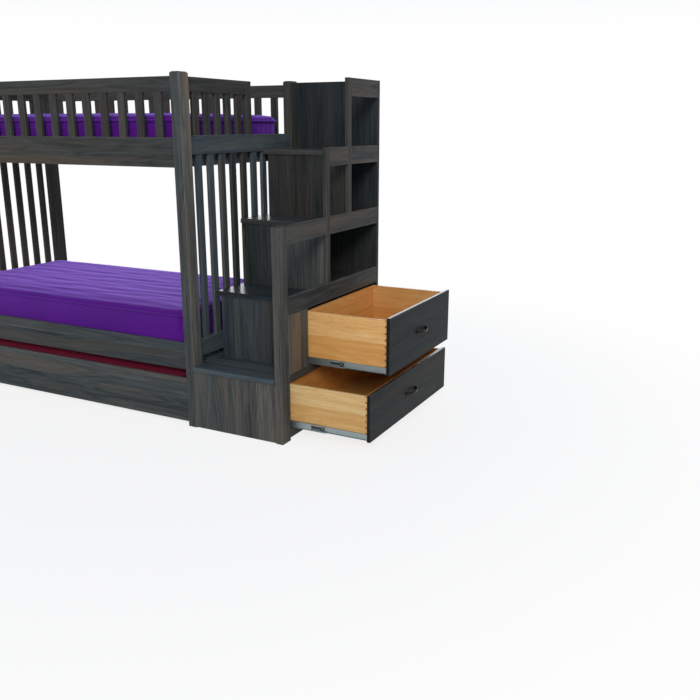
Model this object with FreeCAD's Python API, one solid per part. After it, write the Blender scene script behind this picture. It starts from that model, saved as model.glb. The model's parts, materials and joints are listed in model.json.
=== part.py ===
import FreeCAD, Part
import math
import os
from FreeCAD import Vector

# Bunk bed with a drawer staircase at its foot end and a trundle on wheels.
# Millimetres. X runs along the bed towards the stair, Y from the front to the wall, Z up.
# Pieces are laid out from the stair's outer front floor corner and moved to the origin when written.

# General fits
overrun = 5.0
edge_ease = 2.0
loose_fit = 0.3
rest_gap = 0.3

# Mattresses
mattress_length = 1905.0
mattress_width = 965.0
mattress_end_gap = 12.0
mattress_front_gap = 4.0
mattress_back_gap = 45.0
lower_mattress_height = 220.0
upper_mattress_height = 170.0
trundle_mattress_shorter = 25.0
trundle_mattress_narrower = 30.0
mattress_corner_radius = 70.0
mattress_edge_roll = 20.0
mattress_edge_inset = 14.0
mattress_waist = 7.0
mattress_crown = 9.0
mattress_crown_inset = 160.0

# Bed posts and end frames
post_width = 54.0
post_depth = 76.0
post_cap_bevel = 7.0
bunk_spacing = 1028.0
end_rail_bottom = 367.0
end_rail_height = 92.0
end_rail_thickness = 28.0
slat_width = 44.0
slat_thickness = 19.0
end_slat_count = 9
tenon_length = 12.0
tenon_shoulder = 3.0

# Side rails, deck and guards
side_rail_bottom = 307.0
side_rail_height = 143.0
side_rail_thickness = 25.0
side_rail_setback = 12.0
ledger_width = 25.0
ledger_height = 30.0
ledger_bottom_above_rail = 36.0
deck_slat_width = 70.0
deck_slat_thickness = 19.0
deck_slat_count = 13
guard_gap = 212.0
guard_rail_height = 70.0
post_above_guard = 20.0
guard_slat_count = 16
entry_width = 390.0
entry_stile_width = 45.0
entry_slat_count = 5

# Staircase
first_tread_height = 333.0
stair_rise = 357.0
stair_run = 242.0
riser_count = 4
riser_thickness = 19.0
riser_end_reveal = 8.0
tread_thickness = 24.0
tread_nosing = 8.0
tread_nose_radius = 8.0
tread_end_reach = 9.0
newel_width = 41.0
newel_depth = 76.0
stair_panel_thickness = 19.0
stair_panel_inset = 7.0
stair_back_thickness = 22.0
side_frame_thickness = 20.0
divider_width = 41.0
toe_gap = 14.0
riser_floor_gap = 4.0
toe_rail_top = 61.0
drawer_rail_below_tread = 26.0
drawer_rail_height = 40.0
first_rail_below_tread = 45.0
stair_rail_height = 92.0
stair_rail_pitch = 345.0

# Drawers
drawer_front_thickness = 19.0
drawer_reveal = 4.0
box_length = 457.0
box_side_thickness = 13.0
box_lift = 11.0
upper_box_top_gap = 17.0
lower_box_top_gap = 13.0
upper_unopened = 2.0
lower_unopened = 14.0
upper_tail_count = 8
lower_tail_count = 7
pin_base_share = 0.42
pin_tip_share = 0.26
bottom_thickness = 6.0
bottom_height = 12.0
groove_depth = 6.0

# Ball-bearing slides, three members each
slide_width = 12.7
slide_half_height = 19.0
slide_axis_height = 16.0
slide_setback = 2.0
slide_back_gap = 28.0
slide_sheet = 1.2
slide_play = 0.4
mid_web_recess = 5.0
mid_lip_gap = 0.9
lip_step = 1.6
lever_latch_gap = 6.5
lever_length = 80.0
lever_bar_height = 9.0
lever_depth = 4.5
lever_tab_length = 24.0
lever_tab_height = 22.0
lever_tab_wall = 6.0

# Bow pulls
pull_length = 132.0
pull_projection = 28.0
pull_height = 14.0
pull_bar_depth = 9.0
pull_foot_radius = 11.0
pull_foot_thickness = 3.0

# Trundle
trundle_end_gap = 3.0
trundle_front_bottom = 20.0
trundle_finger_gap = 49.0
trundle_front_thickness = 22.0
trundle_back_gap = 81.0
trundle_head_room = 54.0
trundle_rail_height = 63.0
trundle_rail_thickness = 22.0
trundle_side_inset = 12.0
trundle_cleat_height = 30.0
trundle_slat_count = 11
wheel_radius = 25.0
wheel_width = 20.0
axle_radius = 4.0
caster_head_room = 10.0
fork_sheet = 2.5
fork_side_gap = 1.0
fork_plate_length = 60.0
fork_leg_length = 26.0
fork_below_axle = 8.0
caster_inset = 90.0

# Places worked out from the sizes above
upper_open = box_length - upper_unopened
lower_open = box_length - lower_unopened
drawer_room = slide_back_gap + box_length + slide_setback + drawer_front_thickness
stair_width = stair_panel_inset + stair_panel_thickness + drawer_room
inside_length = mattress_length + 2 * mattress_end_gap
right_inner = -(stair_width + post_width)
left_inner = right_inner - inside_length
left_outer = left_inner - post_width
right_end_middle = right_inner + post_width / 2
left_end_middle = left_inner - post_width / 2
front_rail_inner = side_rail_setback + side_rail_thickness
back_rail_inner = front_rail_inner + mattress_front_gap + mattress_width + mattress_back_gap
bed_depth = back_rail_inner + front_rail_inner
back_post_front = bed_depth - post_depth
ledger_top = side_rail_bottom + ledger_bottom_above_rail + ledger_height
deck_top = ledger_top + deck_slat_thickness
upper_end_rail_top = end_rail_bottom + bunk_spacing + end_rail_height
upper_side_rail_top = side_rail_bottom + bunk_spacing + side_rail_height
guard_bottom = upper_side_rail_top + guard_gap
guard_top = guard_bottom + guard_rail_height
post_height = guard_top + post_above_guard
entry_stile_back = back_post_front - entry_width
entry_stile_front = entry_stile_back - entry_stile_width
stair_left_inner = -drawer_room
stair_left_outer = stair_left_inner - stair_panel_thickness
tread_left = -(stair_width + tread_end_reach)
stair_back_inner = bed_depth - stair_back_thickness
frame_inner = -side_frame_thickness
riser_two_back = stair_run + riser_thickness
drawer_rail_bottom = first_tread_height - drawer_rail_below_tread
drawer_rail_top = drawer_rail_bottom + drawer_rail_height
side_rail_first_bottom = first_tread_height + stair_rise - first_rail_below_tread
first_rail_top = side_rail_first_bottom + stair_rail_height
stair_rail_tops = [first_rail_top + k * stair_rail_pitch for k in range(riser_count)]
mid_half_height = slide_half_height - slide_sheet - slide_play
drawer_member_half_height = mid_half_height - slide_sheet - slide_play
mid_lip = slide_width - slide_sheet - mid_lip_gap
cabinet_lip = mid_lip - lip_step
lever_start = box_length / 2 - lever_latch_gap - lever_length
trundle_front_top = side_rail_bottom - trundle_finger_gap
trundle_back = bed_depth - trundle_back_gap
trundle_rail_bottom = 2 * wheel_radius + caster_head_room
trundle_deck_top = trundle_rail_bottom + trundle_rail_height + deck_slat_thickness
trundle_mattress_length = mattress_length - trundle_mattress_shorter
trundle_mattress_width = mattress_width - trundle_mattress_narrower
trundle_mattress_height = side_rail_bottom + ledger_bottom_above_rail - trundle_head_room - trundle_deck_top
right_reach = max(upper_open, lower_open) + pull_projection
centre_x = (left_outer + right_reach) / 2
centre_y = (bed_depth - tread_nosing) / 2


def tread_top(step):
    """Height of a tread's upper face, the landing being the last."""
    return first_tread_height + (step - 1) * stair_rise


def riser_face(step):
    """Y of a riser's front face."""
    return (step - 1) * stair_run


def block(x0, x1, y0, y1, z0, z1):
    """Square-edged block between two corners."""
    return Part.makeBox(x1 - x0, y1 - y0, z1 - z0, Vector(x0, y0, z0))


def eased_ring(a0, a1, d0, d1):
    """Corners of a rectangle whose four corners are cut by the edge ease."""
    ease = edge_ease
    return [(a0 + ease, d0), (a1 - ease, d0), (a1, d0 + ease), (a1, d1 - ease),
            (a1 - ease, d1), (a0 + ease, d1), (a0, d1 - ease), (a0, d0 + ease)]


def board(x0, x1, y0, y1, z0, z1, grain):
    """Board whose four edges along the grain (X, Y or Z) are eased."""
    low = (x0, y0, z0)
    high = (x1, y1, z1)
    run = "XYZ".index(grain)
    across = (run + 1) % 3
    deep = (run + 2) % 3
    points = []
    for a, d in eased_ring(low[across], high[across], low[deep], high[deep]):
        point = [0, 0, 0]
        point[run] = low[run]
        point[across] = a
        point[deep] = d
        points.append(Vector(*point))
    length = [0, 0, 0]
    length[run] = high[run] - low[run]
    return Part.Face(Part.makePolygon(points + points[:1])).extrude(Vector(*length))


def prism(points, run):
    """Solid swept from a flat outline of corner points along a vector."""
    return Part.Face(Part.makePolygon(points + points[:1])).extrude(run)


def spread(start, end, width, count):
    """Low edges of count equal pieces with equal gaps between two faces."""
    gap = (end - start - count * width) / (count + 1)
    return [start + gap + k * (width + gap) for k in range(count)]


def group(solids):
    """Several separate solids of one node."""
    return Part.makeCompound(solids)


def write(node, shape):
    """Move a finished node to the part's origin and write it."""
    placed = shape.copy()
    placed.translate(Vector(-centre_x, -centre_y, 0))
    placed.exportStep("parts/" + node + ".step")


# Bed frame

def post(x0, y0, x1, y1, height):
    """Upright with eased corners and a bevelled top."""
    rings = []
    for z, inset in ((0, 0), (height - post_cap_bevel, 0), (height, post_cap_bevel)):
        ring = eased_ring(x0 + inset, x1 - inset, y0 + inset, y1 - inset)
        points = [Vector(x, y, z) for x, y in ring]
        rings.append(Part.makePolygon(points + points[:1]))
    return Part.makeLoft(rings, True, True)


def slat(x0, x1, y0, y1, z0, z1):
    """Upright slat with a stub tenon on each end."""
    body = board(x0, x1, y0, y1, z0, z1, "Z")
    s = tenon_shoulder
    core = block(x0 + s, x1 - s, y0 + s, y1 - s, z0 - tenon_length, z1 + tenon_length)
    return body.fuse(core).removeSplitter()


def mortise(x0, x1, y0, y1, face, up):
    """Pocket in a rail for one stub tenon; up tells that the rail is above the slat."""
    s = tenon_shoulder - loose_fit
    deep = tenon_length + loose_fit
    low = face - overrun if up else face - deep
    high = face + deep if up else face + overrun
    return block(x0 + s, x1 - s, y0 + s, y1 - s, low, high)


def slat_row(places, z0, z1):
    """Slats at plan places (x0, x1, y0, y1), with their lower and upper mortises."""
    slats = [slat(*place, z0, z1) for place in places]
    lower = [mortise(*place, z0, False) for place in places]
    upper = [mortise(*place, z1, True) for place in places]
    return slats, lower, upper


def end_places(middle, start, end, count):
    """Plan places of a row of slats across an end of the bed."""
    x0 = middle - slat_thickness / 2
    lows = spread(start, end, slat_width, count)
    return [(x0, x0 + slat_thickness, low, low + slat_width) for low in lows]


def side_places(rail_front):
    """Plan places of a row of guard slats along a side of the bed."""
    y0 = rail_front + (side_rail_thickness - slat_thickness) / 2
    lows = spread(left_inner, right_inner, slat_width, guard_slat_count)
    return [(low, low + slat_width, y0, y0 + slat_thickness) for low in lows]


def end_rail(middle, start, end, bottom, height, pockets):
    """Cross rail of an end frame with its mortises."""
    half = end_rail_thickness / 2
    rail = board(middle - half, middle + half, start, end, bottom, bottom + height, "Y")
    return rail.cut(group(pockets))


def side_rail(front, bottom, height, pockets):
    """Long rail between the posts of one side."""
    rail = board(left_inner, right_inner, front, front + side_rail_thickness, bottom, bottom + height, "X")
    return rail.cut(group(pockets)) if pockets else rail


def make_posts():
    """Four posts, named by the side and end they stand at."""
    for end, x0 in (("right", right_inner), ("left", left_outer)):
        for side, y0 in (("front", 0), ("back", back_post_front)):
            write(side + "_" + end + "_post", post(x0, y0, x0 + post_width, y0 + post_depth, post_height))


def make_ends():
    """End frames below the upper bunk, and the guards above it."""
    low_face = end_rail_bottom + end_rail_height
    high_face = end_rail_bottom + bunk_spacing
    guards = []
    guard_slats = []
    for name, middle in (("right", right_end_middle), ("left", left_end_middle)):
        places = end_places(middle, post_depth, back_post_front, end_slat_count)
        slats, lower, upper = slat_row(places, low_face, high_face)
        open_end = name == "right"
        guard_end = entry_stile_front if open_end else back_post_front
        guard_count = entry_slat_count if open_end else end_slat_count
        guard_row = end_places(middle, post_depth, guard_end, guard_count)
        row, rail_pockets, guard_pockets = slat_row(guard_row, upper_end_rail_top, guard_bottom)
        low_rail = end_rail(middle, post_depth, back_post_front, end_rail_bottom, end_rail_height, lower)
        high_rail = end_rail(middle, post_depth, back_post_front, high_face, end_rail_height,
                             upper + rail_pockets)
        write(name + "_end_rails", group([low_rail, high_rail]))
        write(name + "_end_slats", group(slats))
        guards.append(end_rail(middle, post_depth, guard_end, guard_bottom, guard_rail_height,
                               guard_pockets))
        guard_slats += row
    return guards, guard_slats


def make_sides(guards, guard_slats):
    """Long rails of both bunks, the guards along the upper one and the entry stile."""
    fronts = {"front": side_rail_setback, "back": back_rail_inner}
    for side, front in fronts.items():
        row, pockets, guard_pockets = slat_row(side_places(front), upper_side_rail_top, guard_bottom)
        write("lower_" + side + "_rail", side_rail(front, side_rail_bottom, side_rail_height, []))
        upper_bottom = side_rail_bottom + bunk_spacing
        write("upper_" + side + "_rail", side_rail(front, upper_bottom, side_rail_height, pockets))
        guards.append(side_rail(front, guard_bottom, guard_rail_height, guard_pockets))
        guard_slats += row
    half = end_rail_thickness / 2
    stile = board(right_end_middle - half, right_end_middle + half, entry_stile_front, entry_stile_back,
                  upper_end_rail_top, guard_top, "Z")
    write("entry_stile", stile)
    write("guard_rails", group(guards))
    write("guard_slats", group(guard_slats))


def make_decks():
    """Ledgers inside the long rails, deeper end ledgers between them, and the deck slats on top."""
    ledgers = []
    slats = []
    for lift in (0, bunk_spacing):
        top = ledger_top + lift
        for y0 in (front_rail_inner, back_rail_inner - ledger_width):
            ledgers.append(board(left_inner, right_inner, y0, y0 + ledger_width,
                                 top - ledger_height, top, "X"))
        for x0 in (left_inner, right_inner - ledger_width):
            ledgers.append(board(x0, x0 + ledger_width, front_rail_inner + ledger_width,
                                 back_rail_inner - ledger_width, side_rail_bottom + lift, top, "Y"))
        for x0 in spread(left_inner, right_inner, deck_slat_width, deck_slat_count):
            slats.append(block(x0, x0 + deck_slat_width, front_rail_inner + loose_fit,
                               back_rail_inner - loose_fit, top, top + deck_slat_thickness))
    write("ledgers", group(ledgers))
    write("deck_slats", group(slats))


# Mattresses

def rounded_ring(x0, x1, y0, y1, radius, z):
    """Rectangle with round corners as a wire of lines and quarter arcs at one height."""
    diagonal = radius * (1 - 0.5 ** 0.5)
    edges = []
    corners = [(x1, y0, -1, 1), (x1, y1, -1, -1), (x0, y1, 1, -1), (x0, y0, 1, 1)]
    starts = []
    ends = []
    for k, (x, y, sx, sy) in enumerate(corners):
        along_x = Vector(x + sx * radius, y, z)
        along_y = Vector(x, y + sy * radius, z)
        middle = Vector(x + sx * diagonal, y + sy * diagonal, z)
        first, last = (along_x, along_y) if k % 2 == 0 else (along_y, along_x)
        edges.append(Part.Arc(first, middle, last).toShape())
        starts.append(first)
        ends.append(last)
    joined = []
    for k, arc in enumerate(edges):
        joined.append(arc)
        joined.append(Part.LineSegment(ends[k], starts[(k + 1) % len(starts)]).toShape())
    return Part.Wire(joined)


def mattress(x0, y0, z0, length, width, height):
    """Mattress with rolled edges, sides drawn in at the waist and a crowned top."""
    side_top = height - mattress_crown
    levels = [(0, mattress_edge_inset), (mattress_edge_roll, 0),
              (side_top / 2, mattress_waist), (side_top - mattress_edge_roll, 0),
              (side_top, mattress_edge_inset), (height, mattress_crown_inset)]
    rings = []
    for lift, inset in levels:
        rings.append(rounded_ring(x0 + inset, x0 + length - inset, y0 + inset, y0 + width - inset,
                                  mattress_corner_radius, z0 + lift))
    return Part.makeLoft(rings, True, True)


def make_mattresses():
    """Mattresses of the lower and upper bunks, lying on their deck slats."""
    x0 = left_inner + mattress_end_gap
    y0 = front_rail_inner + mattress_front_gap
    bunks = (("lower", 0, lower_mattress_height), ("upper", bunk_spacing, upper_mattress_height))
    for name, lift, height in bunks:
        z0 = deck_top + lift + rest_gap
        write(name + "_mattress", mattress(x0, y0, z0, mattress_length, mattress_width, height))


# Staircase

def tread(x0, x1, y0, y1, top):
    """Tread with a rounded nose along its front edge."""
    bottom = top - tread_thickness
    r = tread_nose_radius
    diagonal = r * (1 - 0.5 ** 0.5)
    corners = [Vector(x0, y0 + r, top), Vector(x0, y1, top), Vector(x0, y1, bottom),
               Vector(x0, y0, bottom), Vector(x0, y0, top - r)]
    edges = [Part.LineSegment(a, b).toShape() for a, b in zip(corners, corners[1:])]
    middle = Vector(x0, y0 + diagonal, top - diagonal)
    edges.append(Part.Arc(corners[-1], middle, corners[0]).toShape())
    return Part.Face(Part.Wire(edges)).extrude(Vector(x1 - x0, 0, 0))


def make_steps():
    """Treads and landing from the end frame to the side frame, and risers lapped on the left panel."""
    treads = []
    risers = []
    for step in range(1, riser_count + 1):
        face = riser_face(step)
        top = tread_top(step)
        last = step == riser_count
        back = stair_back_inner if last else riser_face(step + 1)
        plank = tread(tread_left, frame_inner, face - tread_nosing, back, top)
        low = top - tread_thickness - overrun
        high = top + overrun
        if step == 1:
            front = -tread_nosing - overrun
            plank = plank.cut(block(-newel_width, 0, front, newel_depth, low, high))
            plank = plank.cut(block(tread_left - overrun, -stair_width, front, post_depth, low, high))
        if last:
            notch = block(tread_left - overrun, -stair_width, back_post_front, bed_depth, low, high)
            write("stair_landing", plank.cut(notch))
        else:
            treads.append(plank)
        foot = riser_floor_gap if step == 1 else tread_top(step - 1) - tread_thickness
        left = -stair_width if step == 1 else stair_left_outer + riser_end_reveal
        right = -newel_width if step == 1 else frame_inner
        risers.append(block(left, right, face, face + riser_thickness, foot, top - tread_thickness))
    write("stair_treads", group(treads))
    write("stair_risers", group(risers))


def make_stair_panels():
    """Stepped panel beside the bed, tall panel at the wall, and the panels inside."""
    x0 = stair_left_outer
    outline = [Vector(x0, stair_back_inner, 0), Vector(x0, riser_thickness, 0)]
    for step in range(1, riser_count + 1):
        under = tread_top(step) - tread_thickness
        back = stair_back_inner if step == riser_count else riser_face(step + 1) + riser_thickness
        outline.append(Vector(x0, riser_face(step) + riser_thickness, under))
        outline.append(Vector(x0, back, under))
    write("stair_left_panel", prism(outline, Vector(stair_panel_thickness, 0, 0)))
    write("stair_back_panel", board(-stair_width, 0, stair_back_inner, bed_depth,
                                    0, stair_rail_tops[-1], "Z"))
    floors = []
    for step in (2, 3):
        front = riser_face(step + 1) + riser_thickness
        floors.append(block(stair_left_inner, frame_inner, front, stair_back_inner,
                            tread_top(step) - tread_thickness, tread_top(step)))
    write("cubby_floors", group(floors))
    write("drawer_partition", block(stair_left_inner, -newel_width, newel_depth - stair_panel_thickness,
                                    newel_depth, 0, tread_top(1) - tread_thickness))


def frame_rail(y0, y1, bottom, top):
    """Rail of the stair's outer side frame."""
    return board(frame_inner, 0, y0, y1, bottom, top, "Y")


def make_side_frame():
    """Outer side of the stair: newel, drawer rails, filler, stepped rails and dividers."""
    write("stair_newel", post(-newel_width, 0, 0, newel_depth, stair_rail_tops[1]))
    toe = frame_rail(newel_depth, stair_back_inner, toe_gap, toe_rail_top)
    between = frame_rail(newel_depth, stair_back_inner, drawer_rail_bottom, drawer_rail_top)
    write("stair_drawer_rails", group([toe, between]))
    filler = board(frame_inner, 0, newel_depth, riser_two_back,
                   drawer_rail_top, side_rail_first_bottom, "Z")
    write("stair_filler_panel", filler)
    dividers = []
    rails = [frame_rail(newel_depth, stair_back_inner, side_rail_first_bottom, stair_rail_tops[0])]
    for step in range(2, riser_count + 1):
        top = stair_rail_tops[step - 1]
        bottom = top - stair_rail_height
        divider_back = riser_face(step + 1) + riser_thickness
        bay_front = newel_depth if step == 2 else riser_face(step) + riser_thickness
        if step < riser_count:
            divider_front = divider_back - divider_width
            dividers.append(board(frame_inner, 0, divider_front, divider_back,
                                  stair_rail_tops[step - 2], stair_rail_tops[step], "Z"))
            rails.append(frame_rail(bay_front, divider_front, bottom, top))
            rails.append(frame_rail(divider_back, stair_back_inner, bottom, top))
        else:
            rails.append(frame_rail(bay_front, stair_back_inner, bottom, top))
    write("stair_dividers", group(dividers))
    write("stair_side_rails", group(rails))


# Drawers

def pins(tip, base, y0, y1, z0, z1, tails):
    """Dovetail pins between evenly spaced tails, as prisms along Y from the base to the tip."""
    pitch = (z1 - z0) / tails
    solids = []
    for k in range(tails + 1):
        middle = z0 + k * pitch
        wide = pitch * pin_base_share / 2
        narrow = pitch * pin_tip_share / 2
        outline = [Vector(base, y0, max(middle - wide, z0)), Vector(base, y0, min(middle + wide, z1)),
                   Vector(tip, y0, min(middle + narrow, z1)), Vector(tip, y0, max(middle - narrow, z0))]
        solids.append(prism(outline, Vector(0, y1 - y0, 0)))
    return solids


def make_drawer(name, near_wall, opening_bottom, opening_top, top_gap, open_by, tails):
    """Dovetailed drawer, drawn at its open place, with front, pull and slides."""
    t = box_side_thickness
    far_wall = stair_back_inner
    front_back = open_by - drawer_front_thickness
    rear = front_back - box_length
    near = near_wall + slide_width
    far = far_wall - slide_width
    z0 = opening_bottom + box_lift
    z1 = opening_top - top_gap
    front = board(front_back, open_by, near_wall + drawer_reveal, far_wall - drawer_reveal,
                  opening_bottom + drawer_reveal, opening_top - drawer_reveal, "Y")
    write(name + "_drawer_front", front)
    groove_low = z0 + bottom_height
    groove_high = groove_low + bottom_thickness + loose_fit
    sheet_reach = t - groove_depth
    groove = block(rear + sheet_reach, front_back - sheet_reach, near + sheet_reach, far - sheet_reach,
                   groove_low, groove_high)
    sides = []
    for y0 in (near, far - t):
        side = block(rear, front_back, y0, y0 + t, z0, z1)
        sockets = pins(front_back, front_back - t, y0, y0 + t, z0, z1, tails)
        sockets += pins(rear, rear + t, y0, y0 + t, z0, z1, tails)
        sides.append(side.cut(group(sockets)).cut(groove))
    write(name + "_drawer_sides", group(sides))
    ends = []
    for tip, base in ((front_back, front_back - t), (rear, rear + t)):
        end = block(min(tip, base), max(tip, base), near + t, far - t, z0, z1)
        for y0 in (near, far - t):
            end = end.fuse(pins(tip, base, y0, y0 + t, z0, z1, tails))
        ends.append(end.cut(groove).removeSplitter())
    write(name + "_drawer_ends", group(ends))
    slack = sheet_reach + loose_fit
    write(name + "_drawer_bottom", block(rear + slack, front_back - slack, near + slack, far - slack,
                                         groove_low, groove_low + bottom_thickness))
    pull_y = (near_wall + far_wall) / 2
    pull_z = (opening_bottom + opening_top) / 2
    write(name + "_drawer_pull", pull(open_by, pull_y, pull_z))
    return make_slides(name, near_wall, far_wall, z0 + slide_axis_height, open_by)


def pull(face, middle_y, middle_z):
    """Bow pull: an eased bar bent to an arc, whose ends stand on two round feet."""
    half_bar = pull_bar_depth / 2
    half_height = pull_height / 2
    crest = pull_projection - half_bar
    rise = crest - pull_foot_thickness
    reach = pull_length / 2 - half_bar
    radius = (reach ** 2 + rise ** 2) / (2 * rise)
    centre = Vector(face + crest - radius, middle_y, middle_z)
    up = Vector(0, 0, 1)
    half_turn = math.degrees(math.asin(reach / radius) + pull_bar_depth / radius)
    section = eased_ring(radius - half_bar, radius + half_bar, -half_height, half_height)
    points = [centre + Vector(r, 0, v) for r, v in section]
    profile = Part.Face(Part.makePolygon(points + points[:1]))
    profile.rotate(centre, up, -half_turn)
    bar = profile.revolve(centre, up, 2 * half_turn)
    below_seat = block(face - pull_projection, face + pull_foot_thickness, middle_y - pull_length,
                       middle_y + pull_length, middle_z - pull_height, middle_z + pull_height)
    handle = bar.cut(below_seat)
    for side in (1, -1):
        foot_place = Vector(face, middle_y + side * reach, middle_z)
        foot = Part.makeCylinder(pull_foot_radius, pull_foot_thickness, foot_place, Vector(1, 0, 0))
        handle = handle.fuse(foot)
    return handle.removeSplitter()


def channel(x0, length, wall, toward, web, lip, half_height, axis_z):
    """Sheet-metal channel along X; web and lip are distances of its back and open edge from the wall."""
    s = slide_sheet if lip > web else -slide_sheet
    h = half_height
    t = slide_sheet
    ring = [(web, -h), (lip, -h), (lip, -h + t), (web + s, -h + t),
            (web + s, h - t), (lip, h - t), (lip, h), (web, h)]
    points = [Vector(x0, wall + toward * u, axis_z + v) for u, v in ring]
    return prism(points, Vector(length, 0, 0))


def mid_channel(x0, wall, toward, axis_z):
    """Middle member along X: lips to both sides of a web set back from the wall, whose front end is
    slotted for the release lever."""
    near = slide_sheet + slide_play
    far = mid_lip
    web = mid_web_recess
    t = slide_sheet
    h = mid_half_height
    ring = [(near, -h), (far, -h), (far, -h + t), (web + t, -h + t), (web + t, h - t), (far, h - t),
            (far, h), (near, h), (near, h - t), (web, h - t), (web, -h + t), (near, -h + t)]
    points = [Vector(x0, wall + toward * u, axis_z + v) for u, v in ring]
    member = prism(points, Vector(box_length, 0, 0))
    end = x0 + box_length
    half = lever_tab_height / 2 + slide_play
    sides = (wall, wall + toward * slide_width)
    slot = block(end - lever_length - overrun, end + overrun, min(sides), max(sides),
                 axis_z - half, axis_z + half)
    return member.cut(slot)


def lever(x0, wall, toward, axis_z):
    """Release lever on a drawer member: a flat bar that ends in a bevelled tab with a window."""
    back = wall + toward * (slide_width - slide_sheet)
    bar = lever_bar_height / 2
    tab = lever_tab_height / 2
    bevel = tab - bar
    start = lever_length - lever_tab_length
    upper = [(0, bar), (start, bar), (start + bevel, tab), (lever_length - bevel, tab), (lever_length, bar)]
    lower = [(u, -v) for u, v in reversed(upper)]
    points = [Vector(x0 + u, back, axis_z + v) for u, v in upper + lower]
    window_half = tab - lever_tab_wall
    window = block(x0 + start + lever_tab_wall, x0 + lever_length - lever_tab_wall,
                   back - slide_width, back + slide_width, axis_z - window_half, axis_z + window_half)
    return prism(points, Vector(0, -toward * lever_depth, 0)).cut(window)


def make_slides(name, near_wall, far_wall, axis_z, open_by):
    """Both slides of a drawer: the cabinet members are returned, the moving ones written."""
    closed = -drawer_front_thickness - slide_setback - box_length
    cabinet = []
    mids = []
    drawer_members = []
    levers = []
    member_lip = mid_web_recess + slide_sheet + slide_play
    for wall, toward in ((near_wall, 1), (far_wall, -1)):
        cabinet.append(channel(closed, box_length, wall, toward, 0, cabinet_lip, slide_half_height, axis_z))
        mids.append(mid_channel(closed + open_by / 2, wall, toward, axis_z))
        member_start = closed + open_by
        drawer_members.append(channel(member_start, box_length, wall, toward, slide_width, member_lip,
                                      drawer_member_half_height, axis_z))
        levers.append(lever(member_start + lever_start, wall, toward, axis_z))
    write(name + "_mid_members", group(mids))
    write(name + "_drawer_members", group(drawer_members))
    write(name + "_release_levers", group(levers))
    return cabinet


def make_drawers():
    """Upper drawer behind riser 2, lower drawer behind the newel."""
    cabinet = make_drawer("upper", riser_two_back, drawer_rail_top, side_rail_first_bottom,
                          upper_box_top_gap, upper_open, upper_tail_count)
    cabinet += make_drawer("lower", newel_depth, toe_rail_top, drawer_rail_bottom,
                           lower_box_top_gap, lower_open, lower_tail_count)
    write("slide_cabinet_members", group(cabinet))


# Trundle

def caster_fork(x, y):
    """Rigid caster fork: plate and two tapered cheeks round the wheel, with the axle through them."""
    top = trundle_rail_bottom
    half = wheel_width / 2 + fork_side_gap
    outer = half + fork_sheet
    axle_z = wheel_radius
    long = fork_plate_length / 2
    short = fork_leg_length / 2
    plate = block(x - outer, x + outer, y - long, y + long, top - fork_sheet, top)
    fork = plate
    for x0 in (x - outer, x + half):
        foot = axle_z - fork_below_axle
        outline = [Vector(x0, y - long, top - fork_sheet), Vector(x0, y + long, top - fork_sheet),
                   Vector(x0, y + short, foot), Vector(x0, y - short, foot)]
        fork = fork.fuse(prism(outline, Vector(fork_sheet, 0, 0)))
    axle = Part.makeCylinder(axle_radius, 2 * outer, Vector(x - outer, y, axle_z), Vector(1, 0, 0))
    return fork.fuse(axle).removeSplitter()


def caster_wheel(x, y):
    """Moulded wheel with a bore for the axle."""
    place = Vector(x - wheel_width / 2, y, wheel_radius)
    along = Vector(1, 0, 0)
    tyre = Part.makeCylinder(wheel_radius, wheel_width, place, along)
    return tyre.cut(Part.makeCylinder(axle_radius + loose_fit, wheel_width, place, along))


def make_trundle():
    """Rolling platform under the lower bunk, with its mattress."""
    left = left_inner + trundle_end_gap
    right = right_inner - trundle_end_gap
    face = side_rail_setback
    inner = face + trundle_front_thickness
    back = trundle_back
    rail_top = trundle_rail_bottom + trundle_rail_height
    t = trundle_rail_thickness
    write("trundle_front", board(left, right, face, inner, trundle_front_bottom, trundle_front_top, "X"))
    write("trundle_back", board(left + trundle_side_inset, right - trundle_side_inset, back - t, back,
                                trundle_rail_bottom, rail_top, "X"))
    sides = []
    forks = []
    for end, x0 in (("left", left + trundle_side_inset), ("right", right - trundle_side_inset - t)):
        sides.append(board(x0, x0 + t, inner, back - t, trundle_rail_bottom, rail_top, "Y"))
        for place, y in (("front", inner + caster_inset), ("back", back - t - caster_inset)):
            forks.append(caster_fork(x0 + t / 2, y))
            write(place + "_" + end + "_wheel", caster_wheel(x0 + t / 2, y))
    write("trundle_sides", group(sides))
    write("caster_forks", group(forks))
    cleat_left = left + trundle_side_inset + t
    cleat_right = right - trundle_side_inset - t
    write("trundle_cleat", board(cleat_left, cleat_right, inner, inner + t, rail_top - trundle_cleat_height,
                                 rail_top, "X"))
    slats = []
    for x0 in spread(left, right, deck_slat_width, trundle_slat_count):
        slats.append(block(x0, x0 + deck_slat_width, inner, back, rail_top, trundle_deck_top))
    write("trundle_slats", group(slats))
    bed_middle = (left + right) / 2
    write("trundle_mattress", mattress(bed_middle - trundle_mattress_length / 2, inner + mattress_front_gap,
                                       trundle_deck_top + rest_gap, trundle_mattress_length,
                                       trundle_mattress_width, trundle_mattress_height))


def main():
    """Build every sub-part and write it."""
    os.makedirs("parts", exist_ok=True)
    make_posts()
    guards, guard_slats = make_ends()
    make_sides(guards, guard_slats)
    make_decks()
    make_mattresses()
    make_steps()
    make_stair_panels()
    make_side_frame()
    make_drawers()
    make_trundle()


main()
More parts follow.
